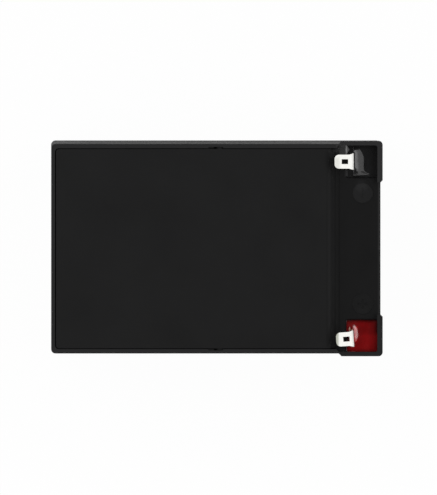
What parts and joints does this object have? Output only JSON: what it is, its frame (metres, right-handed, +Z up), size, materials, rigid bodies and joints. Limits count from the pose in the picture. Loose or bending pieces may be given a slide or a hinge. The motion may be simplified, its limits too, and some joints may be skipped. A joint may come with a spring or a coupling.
{
  "type": "sealed lead acid battery",
  "caption": "Sealed lead acid battery: black box with glued lid, sunk terminal strip with corner guards, bent push-on tabs in cast resin, and plates, mats and valves inside.",
  "frame": {"origin": "middle of the base of the whole part's box, on the surface it stands on", "axes": "+Z up; +X along the length, towards the end with the terminals; +Y towards the negative terminal"},
  "size_m": [0.151, 0.098, 0.101],
  "materials": {
    "black_plastic": "matt moulded black ABS with a fine grain",
    "bond_resin": "hard cast resin",
    "cap_rubber": "soft black rubber",
    "seal_rubber": "oiled black rubber",
    "positive_paste": "brown lead dioxide paste on a lead grid",
    "negative_paste": "grey spongy lead paste on a lead grid",
    "glass_felt": "white felt of glass fibre, damp",
    "lead": "cast lead",
    "tinned_brass": "stamped brass with a tin coat",
    "solder": "satin solder",
    "red_resin": "glossy dark red cast resin",
    "black_resin": "glossy black cast resin"
  },
  "bodies": {
    "root": {"jar": "black_plastic", "lid": "black_plastic", "top_plate": "black_plastic", "lid_bond": "bond_resin", "valve_cap_1": "cap_rubber", "positive_plates_1": "positive_paste", "negative_plates_1": "negative_paste", "glass_mats_1": "glass_felt", "valve_cap_2": "cap_rubber", "positive_plates_2": "positive_paste", "negative_plates_2": "negative_paste", "glass_mats_2": "glass_felt", "valve_cap_3": "cap_rubber", "positive_plates_3": "positive_paste", "negative_plates_3": "negative_paste", "glass_mats_3": "glass_felt", "valve_cap_4": "cap_rubber", "positive_plates_4": "positive_paste", "negative_plates_4": "negative_paste", "glass_mats_4": "glass_felt", "valve_cap_5": "cap_rubber", "positive_plates_5": "positive_paste", "negative_plates_5": "negative_paste", "glass_mats_5": "glass_felt", "valve_cap_6": "cap_rubber", "positive_plates_6": "positive_paste", "negative_plates_6": "negative_paste", "glass_mats_6": "glass_felt", "cell_link_1_2": "lead", "cell_link_2_3": "lead", "cell_link_3_4": "lead", "cell_link_4_5": "lead", "cell_link_5_6": "lead", "positive_tab": "tinned_brass", "positive_solder": "solder", "positive_seal_ring": "seal_rubber", "positive_resin": "red_resin", "negative_tab": "tinned_brass", "negative_solder": "solder", "negative_seal_ring": "seal_rubber", "negative_resin": "black_resin"}
  },
  "joints": []
}
